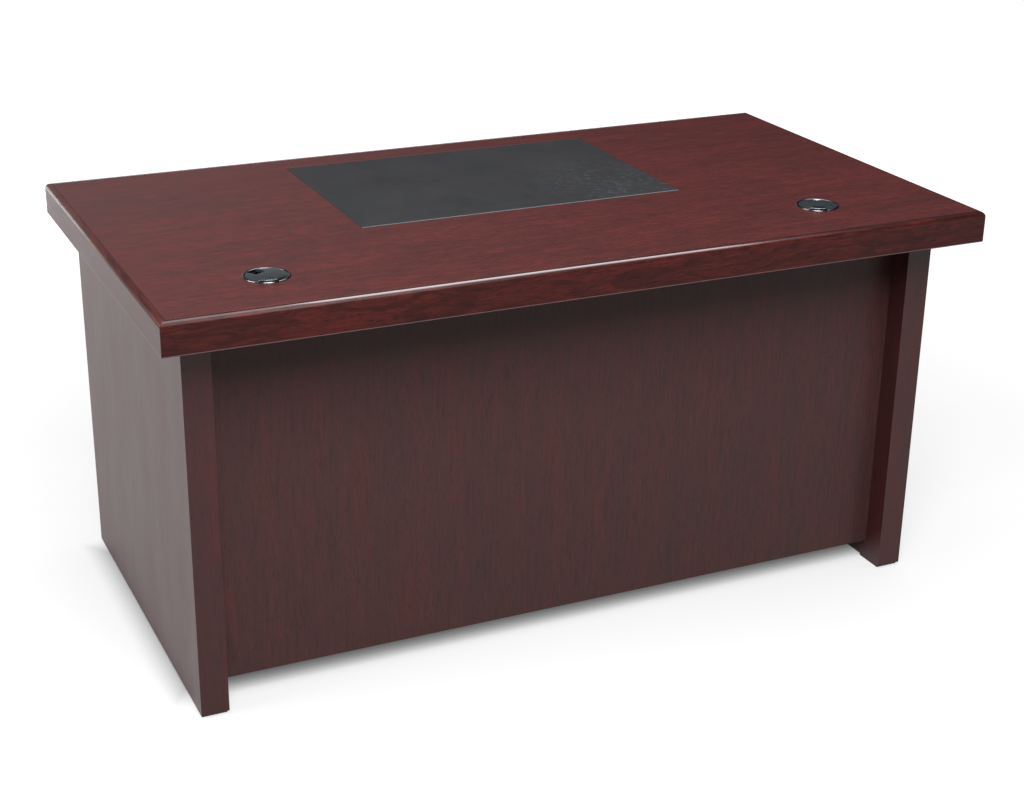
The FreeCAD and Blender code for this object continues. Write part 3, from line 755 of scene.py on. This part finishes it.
def floor():
    """A plain pale floor, itself a little bright except under the desk, where a painted shadow lies."""
    shape = bmesh.new()
    bmesh.ops.create_grid(shape, x_segments=8, y_segments=8, size=FLOOR_REACH)
    mesh = bpy.data.meshes.new("studio_floor")
    shape.to_mesh(mesh)
    shape.free()
    mesh.materials.append(finish("floor_paper", floor_paper))
    piece = bpy.data.objects.new("studio_floor", mesh)
    bpy.context.scene.collection.objects.link(piece)
    piece.visible_diffuse = False


def floor_paper(r):
    """Grey paper that gives off light of its own where the desk doesn't stand over it; the dark under the desk is
    a painted shadow and the lower glow near it a painted shade.
    """
    at = r.place()
    front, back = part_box("modesty_panel")[0].y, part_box("left_end_panel")[1].y
    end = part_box("right_end_panel")[1].x
    half = (back - front) / 2
    across = r.part(at, 0).alone("ABSOLUTE")
    along = (r.part(at, 1) - (front + back) / 2).alone("ABSOLUTE")
    # Painted shadow: no glow inside the desk's outline.
    beside = r.between(across, end + SHADOW_EDGE_ENDS[0], end + SHADOW_EDGE_ENDS[1])
    before = r.between(along, half + SHADOW_EDGE_SIDES[0], half + SHADOW_EDGE_SIDES[1])
    clear = beside.maths("MAXIMUM", beside, before)
    reach = r.vector("LENGTH", at, (0, 0, 0), out="Value")
    # Painted shade: the glow is lower near the middle, round the desk.
    glow = clear * (GLOW_NEAR + GLOW_MORE * r.between(reach, GLOW_FROM, GLOW_TO))
    return {"Base Color": rgb(0.30, 0.30, 0.30), "Roughness": 0.9, "Specular IOR Level": 0.0,
            "Emission Color": r.tint(glow, rgb(0, 0, 0), rgb(1, 1, 1)),
            "Emission Strength": 1.0}


BACK_LEFT = (-0.75, 0.66, 0.0)


def sky():
    """A soft dome, bright overhead and dim near the horizon, with a paler patch low behind
    the desk's left end; the camera sees it all pale."""
    world = bpy.data.worlds.new("studio_dome")
    world.use_nodes = True
    r = Recipe(world.node_tree)
    way = r.node("ShaderNodeTexCoord", out="Generated")
    rise = r.part(way, 2)
    back_left = r.vector("DOT_PRODUCT", way, BACK_LEFT, out="Value")
    veil = r.between(back_left, 0.15, 0.60) * (1 - r.between(rise, 0.24, 0.40))
    low = r.tint(veil, rgb(0.035, 0.035, 0.04), rgb(0.50, 0.50, 0.51))
    dome = r.tint(r.between(rise, 0.60, 0.92), low, rgb(1.0, 1.0, 1.02))
    dome = r.tint(r.between(rise, -0.02, 0.0), rgb(0.22, 0.21, 0.21), dome)
    seen = r.node("ShaderNodeLightPath", out="Is Camera Ray")
    colour = r.tint(seen, dome, rgb(0.98, 0.98, 0.985))
    light = r.node("ShaderNodeBackground", {}, {"Color": colour, "Strength": 1.0})
    r.node("ShaderNodeOutputWorld", {}, {"Surface": light})
    bpy.context.scene.world = world


WHITE, ROSE = (1.0, 1.0, 1.0), (1.0, 0.95, 0.99)
# The lamps: place, the point they face, width and height, how bright their face is, colour.
LAMPS = {"overhead_box": ((0.72, 0.15, 2.8), (0.72, 0.15, 0.7), (2.3, 1.9), 2.5, ROSE),
         "front_box": ((-0.7, -2.35, 3.05), (-0.1, -0.2, 0.5), (2.0, 1.9), 14.5, WHITE),
         "left_box": ((-3.2, 0.2, 2.0), (-1.0, 0.0, 0.2), (2.0, 1.4), 8.6, WHITE),
         "low_back_fill": ((0.2, 3.0, 0.36), (0.0, 0.0, 0.36), (3.4, 0.6), 4.0, WHITE)}
# A lamp that faces down more steeply than this is squared to the desk's length.
STEEP = 0.7


def soft_box(name, place, aim, size, radiance, colour):
    """A rectangular lamp, level along its width, that faces a point; its power follows from
    how bright its face is. The camera doesn't see it."""
    data = bpy.data.lights.new(name, "AREA")
    data.shape = "RECTANGLE"
    data.size, data.size_y = size
    data.energy = radiance * math.pi * size[0] * size[1]
    data.color = colour
    lamp = bpy.data.objects.new(name, data)
    bpy.context.scene.collection.objects.link(lamp)
    back = (Vector(place) - Vector(aim)).normalized()
    level = Vector((0, 1, 0)) if abs(back.z) > STEEP else Vector((0, 0, 1))
    side = level.cross(back).normalized()
    rise = back.cross(side)
    turn = Matrix((side, rise, back)).transposed().to_4x4()
    lamp.matrix_world = Matrix.Translation(place) @ turn
    lamp.visible_camera = False


def stage():
    """The camera, the floor, the dome and the lamps."""
    camera()
    floor()
    sky()
    for name, lamp in LAMPS.items():
        soft_box(name, *lamp)
    bpy.context.scene.view_settings.view_transform = "Standard"


stage()
clad_boards()
finishes = dress_nodes()
writing_mat()
handle_screws(finishes["runner_steel"])
grommet_rings()
